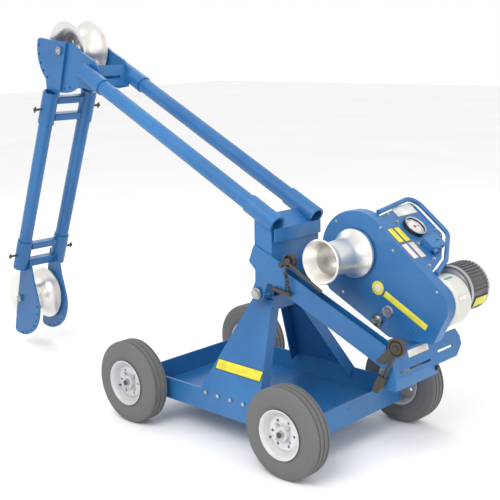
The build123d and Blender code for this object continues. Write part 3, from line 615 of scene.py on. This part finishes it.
# --- trim -------------------------------------------------------------------------
@dataclass
class ChassisTrim:
    """Pedestal label, lug bolts and valve stems of the wheeled tray."""

    corners: tuple[str, ...] = ("boom_near", "boom_far", "motor_near", "motor_far")
    label_length: float = 0.288
    label_height: float = 0.052
    label_rise: float = 0.1418
    label_shift: float = 0.004
    lug_circle: float = 0.047
    lug_count: int = 4
    lug_radius: float = 0.0075
    lug_height: float = 0.006
    lug_seat: float = 0.0245
    stem_circle: float = 0.082
    stem_turn: float = 205.0
    stem_seat: float = 0.006
    stem_lean: float = 0.35

    def label(self) -> None:
        """Yellow blank label on the near side of the pedestal."""
        low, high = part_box("pedestal_plates")
        start = Vector(((low.x + high.x) / 2 + self.label_shift, low.y - 0.2, low.z + self.label_rise))
        point, out = on_surface("pedestal_plates", start, ALONG_Y)
        place = facing(point + out * 0.0005, out, Vector((1, 0, -0.012)))
        Label("pedestal_label", place, self.label_length, self.label_height, Finish.YELLOW, "chassis",
              Finish.INK).build()

    def spoke(self, turn: float, radius: float) -> Vector:
        """Offset from a wheel's axis.

        Args:
            turn: Angle in degrees from +X towards +Z.
            radius: Distance from the axis.

        Returns:
            The offset in the wheel's plane.
        """
        return Vector((math.cos(math.radians(turn)), 0, math.sin(math.radians(turn)))) * radius

    def lugs(self, corner: str, axle: Vector, face_y: float, out: Vector) -> None:
        """Lug bolts round one hub.

        Args:
            corner: The wheel's corner of the tray.
            axle: A point on the wheel's axis, at y = 0.
            face_y: Middle plane of the rim.
            out: Outward direction of the axle.
        """
        places = []
        for k in range(self.lug_count):
            spot = axle + self.spoke(45 + 360 / self.lug_count * k, self.lug_circle)
            seat = Vector((0, face_y + out.y * self.lug_seat, 0))
            places.append(facing(spot + seat, out, ALONG_X))
        pattern = hexagon_bolt("lug_bolts_" + corner, self.lug_radius, self.lug_height)
        fit(copies(pattern, places), Finish.ZINC, "wheel_" + corner)

    def stem(self, corner: str, axle: Vector, face_y: float, out: Vector) -> None:
        """Valve stem of one wheel, leaning towards the axle.

        Args:
            corner: The wheel's corner of the tray.
            axle: A point on the wheel's axis, at y = 0.
            face_y: Middle plane of the rim.
            out: Outward direction of the axle.
        """
        body, neck = 0.0042, 0.003
        profile = [(body, 0), (body, 0.012), (neck, 0.014), (neck, 0.026), (body, 0.027), (body, 0.034),
                   (neck, 0.035)]
        stem = turned("valve_stem_" + corner, profile, 20)
        spot = self.spoke(self.stem_turn, self.stem_circle)
        lean = out - spot.normalized() * self.stem_lean
        seat = Vector((0, face_y + out.y * self.stem_seat, 0))
        place = facing(axle + spot + seat, lean, ALONG_X)
        fit(settle(stem, place), Finish.BLACK, "wheel_" + corner)

    def build(self) -> None:
        """Build the label and every wheel's fittings."""
        self.label()
        for corner in self.corners:
            low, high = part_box("rim_" + corner)
            centre = (low + high) / 2
            axle = Vector((centre.x, 0, centre.z))
            out = NEAR_SIDE if high.y < 0 else ALONG_Y
            self.lugs(corner, axle, centre.y, out)
            self.stem(corner, axle, centre.y, out)


@dataclass
class CaseTrim:
    """Roundel and stripe on the drive case, and the cross member's label and bolt."""

    roundel_radius: float = 0.031
    roundel_x: float = 0.628
    roundel_z: float = 0.759
    stripe_length: float = 0.245
    stripe_width: float = 0.02852
    stripe_gap: float = 0.01
    stripe_slope: Triple = (0.883, 0, -0.47)
    web_slope: Triple = (0.962, 0, 0.272)
    web_spot: Triple = (0.8448, 0.03, 0.522)
    bolt_y: float = 0.14
    bolt_z: float = 0.42

    def front(self) -> None:
        """Blank roundel and stripe on the front of the case."""
        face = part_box("case_front_shell")[0].y
        at = Vector((self.roundel_x, face, self.roundel_z))
        place = facing(at, NEAR_SIDE, ALONG_X)
        radius = self.roundel_radius
        roundel = turned("case_roundel", [(radius, 0), (radius, 0.0008), (radius - 0.0004, 0.001)])
        fit(settle(roundel, place), Finish.YELLOW, "boom_frame")
        inner = radius * 0.55
        centre = turned("case_roundel_centre", [(inner, 0), (inner, 0.0015), (radius * 0.5, 0.0017)])
        fit(settle(centre, place), Finish.CREAM, "boom_frame")
        slope = Vector(self.stripe_slope)
        middle = at + slope.normalized() * (radius + self.stripe_gap + self.stripe_length / 2)
        Label("case_stripe", facing(middle, NEAR_SIDE, slope), self.stripe_length, self.stripe_width,
              Finish.YELLOW, "boom_frame").build()

    def build(self) -> None:
        """Lay the case front's labels, the cross member's label and its bolt."""
        self.front()
        web = facing(Vector(self.web_spot), Vector(self.web_slope), ALONG_Y)
        Label("cross_label", web, 0.15, 0.03, Finish.CREAM, "boom_frame").build()
        strip_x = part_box("cross_member")[1].x - 0.0005
        bolt = hexagon_bolt("cross_bolt", 0.011, 0.009)
        place = facing(Vector((strip_x, self.bolt_y, self.bolt_z)), ALONG_X, ALONG_Y)
        fit(settle(bolt, place), Finish.BLACK, "boom_frame")


@dataclass
class PanelTrim:
    """Dial, labels and bolts of the sloping control panel."""

    slope: float = math.radians(37.8)
    mid_s: float = 0.070
    skin: float = 0.0029
    case_lift: float = 0.0089
    gauge_s: float = 0.022
    gauge_y: float = 0.236
    dial_radius: float = 0.0455
    tick_count: int = 28
    tick_step: float = 10.0

    def at(self, s: float, y: float, height: float = 0.0) -> Matrix:
        """Frame on the panel.

        Args:
            s: Distance down the slope from the panel's reference line.
            y: Position across.
            height: Height above the panel's top skin.

        Returns:
            The frame, Z out of the panel and X down the slope.
        """
        low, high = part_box("control_panel")
        centre = (low + high) / 2
        down = Vector((math.cos(self.slope), 0, -math.sin(self.slope)))
        out = Vector((math.sin(self.slope), 0, math.cos(self.slope)))
        middle = Vector((centre.x, y, centre.z))
        return facing(middle + down * (s - self.mid_s) + out * (self.skin + height), out, down)

    def labels(self) -> None:
        """Blank labels on the panel and on the case's sloping edge."""
        yellow, pale, cream, ink, pink = Finish.YELLOW, Finish.PALE, Finish.CREAM, Finish.INK, Finish.PINK
        fields = (
            ("case_label_a", 0.039, 0.073, self.case_lift, 0.086, 0.040, yellow, ink, 0.003),
            ("case_label_b", 0.134, 0.073, self.case_lift, 0.084, 0.036, pale, pink, 0.003),
            ("panel_label_c", 0.035, 0.134, 0.0, 0.088, 0.040, yellow, ink, 0.003),
            ("panel_label_d", 0.131, 0.138, 0.0, 0.090, 0.038, cream, pink, 0.003),
            ("panel_label_e", -0.088, 0.288, 0.0, 0.058, 0.150, pale, cream, 0.020),
        )
        for name, s, y, height, length, width, face, border, corner in fields:
            Label(name, self.at(s, y, height), length, width, face, "boom_frame", border, corner).build()

    def bolts(self) -> None:
        """Bolt heads on the panel."""
        spots = ((-0.086, 0.159), (-0.032, 0.168), (-0.1, 0.371), (0.06, 0.37), (0.105, 0.179),
                 (0.199, 0.186), (0.226, 0.118))
        pattern = hexagon_bolt("panel_bolts", 0.0075, 0.006)
        bolts = copies(pattern, [self.at(s, y) for s, y in spots])
        fit(bolts, Finish.ZINC, "boom_frame")

    def dial(self) -> None:
        """White dial with a scale of ticks, and a bezel ring."""
        radius = self.dial_radius
        face = turned("gauge_dial", [(radius, 0), (radius, 0.0012), (radius - 0.0005, 0.0016)], 64)
        place = self.at(self.gauge_s, self.gauge_y, 0.011)
        fit(settle(face, place), Finish.PALE, "boom_frame")
        pattern = plate("gauge_ticks", Vector((0.0075, 0.0016, 0.0006)), 0.0003, 0.0001)
        places = []
        for k in range(self.tick_count):
            turn = Matrix.Rotation(math.radians(-45 + self.tick_step * k), 4, "Z")
            reach = Matrix.Translation((0.037, 0, 0))
            places.append(self.at(self.gauge_s, self.gauge_y, 0.0127) @ turn @ reach)
        fit(copies(pattern, places), Finish.INK, "boom_frame")
        bpy.ops.object.select_all(action="DESELECT")
        bpy.ops.mesh.primitive_torus_add(
            major_radius=0.0505, minor_radius=0.0034, major_segments=64, minor_segments=12)
        bezel = bpy.context.object
        bezel.name = "gauge_bezel"
        bpy.ops.object.shade_smooth()
        place = self.at(self.gauge_s, self.gauge_y, 0.0205)
        fit(settle(bezel, place), Finish.BELL, "boom_frame")

    def build(self) -> None:
        """Build every piece of the panel."""
        self.labels()
        self.bolts()
        self.dial()


@dataclass
class MotorTrim:
    """Cooling fins, bands and labels of the motor and gearcase."""

    fin_count: int = 22
    fin_height: float = 0.0095
    fin_width: float = 0.0046
    fin_share: float = 0.84
    fin_rise: float = 0.1
    first_fin: float = 4.0
    sweep: float = 190.0
    band_half: float = 0.007

    def round(self, turn: float, radius: float, y: float, centre: Vector) -> Matrix:
        """Frame on a barrel.

        Args:
            turn: Angle in degrees from +X towards +Z.
            radius: Distance from the barrel's axis.
            y: Position along the axis.
            centre: A point on the axis.

        Returns:
            The frame, Z outwards and X along the motor.
        """
        out = Vector((math.cos(math.radians(turn)), 0, math.sin(math.radians(turn))))
        return facing(Vector((centre.x, y, centre.z)) + out * radius, out, ALONG_Y)

    def fins(self, centre: Vector, radius: float, span: float) -> None:
        """Cooling fins over the top of the motor.

        Args:
            centre: The middle of the motor barrel.
            radius: Radius of the barrel.
            span: Length of the barrel.
        """
        size = Vector((span * self.fin_share, self.fin_width, self.fin_height))
        fin = plate("motor_fins", size, 0.001, 0.0008)
        step = self.sweep / self.fin_count
        reach = radius + self.fin_height * self.fin_rise
        turns = [self.first_fin + step * k for k in range(self.fin_count)]
        places = [self.round(turn, reach, centre.y + 0.004, centre) for turn in turns]
        fit(copies(fin, places), Finish.MOTOR, "boom_frame")

    def band(self, name: str, y: float, centre: Vector, radius: float) -> None:
        """Raised ring round the motor barrel.

        Args:
            name: Object name.
            y: Position along the barrel.
            centre: The middle of the motor barrel.
            radius: Radius of the barrel.
        """
        half = self.band_half
        foot, crown = radius + 0.001, radius + 0.004
        profile = [(foot, -half), (crown, 0.001 - half), (crown, half - 0.001), (foot, half)]
        place = facing(Vector((centre.x, y, centre.z)), ALONG_Y, ALONG_X)
        fit(settle(turned(name, profile, 72), place), Finish.BELL, "boom_frame")

    def build(self) -> None:
        """Build fins, bands and labels."""
        low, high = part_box("motor_body")
        centre = (low + high) / 2
        radius = (high.x - low.x) / 2
        self.fins(centre, radius, high.y - low.y)
        self.band("motor_band", low.y + 0.009, centre, radius)
        self.band("motor_rear_band", high.y - 0.007, centre, radius)
        place = self.round(-24, radius + 0.0012, centre.y + 0.012, centre)
        Label("motor_label", place, 0.1, 0.05, Finish.YELLOW, "boom_frame", Finish.INK, 0.003, 0.003).build()
        low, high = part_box("gearcase")
        mid = (low + high) / 2
        case_radius = (high.x - low.x) / 2
        place = self.round(73, case_radius + 0.0004, mid.y - 0.012, mid)
        Label("gearcase_stripe", place, 0.06, 0.011, Finish.GREEN, "boom_frame", None, 0.002).build()
        place = self.round(18, case_radius + 0.0003, mid.y - 0.016, mid)
        Label("gearcase_label", place, 0.06, 0.02, Finish.PALE, "boom_frame", Finish.PINK, 0.002, 0.002).build()


# --- stage ------------------------------------------------------------------------
@dataclass
class Studio:
    """Pale floor, soft lights and the camera."""

    eye: Triple = (3.07023, -3.35110, 1.82305)
    yaw: float = 0.75796
    pitch: float = 0.210458
    roll: float = -0.0195828
    lens_mm: float = 70.49088
    film_mm: float = 36.0
    floor_size: float = 60.0
    aim: Triple = (-0.4, 0, 0.8)

    def floor(self) -> None:
        """Plain pale floor."""
        bpy.ops.object.select_all(action="DESELECT")
        bpy.ops.mesh.primitive_plane_add(size=self.floor_size)
        ground = bpy.context.object
        ground.name = "studio_floor"
        sheet = NodeSheet("studio_floor")
        tone = sheet.ramp(sheet.noise(0.6, 3), 0.3, 0.7, (0.9, 0.9, 0.9), (0.93, 0.93, 0.93))
        sheet.link(tone, sheet.shader.inputs["Base Color"])
        sheet.shader.inputs["Roughness"].default_value = 0.9
        ground.data.materials.append(sheet.material)

    def lights(self) -> None:
        """One large key, a fill, a back light and a bright surround."""
        world = bpy.data.worlds.new("studio_air")
        bpy.context.scene.world = world
        world.use_nodes = True
        air = world.node_tree.nodes["Background"]
        air.inputs["Color"].default_value = (1, 1, 1, 1)
        air.inputs["Strength"].default_value = 1.0
        bpy.context.scene.view_settings.view_transform = "Standard"
        lamps = (("key", (1.5, -4.5, 5.5), 3.5, 230), ("fill", (5.5, 0.5, 3.5), 3.5, 60),
                 ("back", (-4.5, 2.5, 4.5), 3.0, 60))
        for name, spot, size, power in lamps:
            data = bpy.data.lights.new(name, "AREA")
            data.size = size
            data.energy = power
            lamp = bpy.data.objects.new(name, data)
            lamp.location = spot
            aim = Vector(self.aim) - Vector(spot)
            lamp.rotation_euler = aim.to_track_quat("-Z", "Y").to_euler()
            bpy.context.scene.collection.objects.link(lamp)

    def camera(self) -> None:
        """Camera at its place, turned by its yaw, pitch and roll."""
        level = math.cos(self.pitch)
        back = Vector((math.sin(self.yaw) * level, -math.cos(self.yaw) * level, math.sin(self.pitch)))
        right = Vector((math.cos(self.yaw), math.sin(self.yaw), 0))
        up = back.cross(right)
        c, s = math.cos(self.roll), math.sin(self.roll)
        tilted_right = right * c + up * s
        tilted_up = up * c - right * s
        data = bpy.data.cameras.new("camera")
        data.sensor_width = self.film_mm
        data.lens = self.lens_mm
        eye = bpy.data.objects.new("camera", data)
        turn = Matrix((tilted_right, tilted_up, back)).transposed().to_4x4()
        eye.matrix_world = Matrix.Translation(self.eye) @ turn
        bpy.context.scene.collection.objects.link(eye)
        bpy.context.scene.camera = eye

    def build(self) -> None:
        """Set the whole stage."""
        self.camera()
        self.floor()
        self.lights()


def main() -> None:
    """Build the puller's finishes and trim."""
    logging.basicConfig(level=logging.INFO)
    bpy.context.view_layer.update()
    Studio().build()
    CadPaint().apply()
    for trim in (ChassisTrim(), CaseTrim(), PanelTrim(), MotorTrim()):
        trim.build()
        log.info("built %s", type(trim).__name__)


if __name__ == "__main__":
    main()
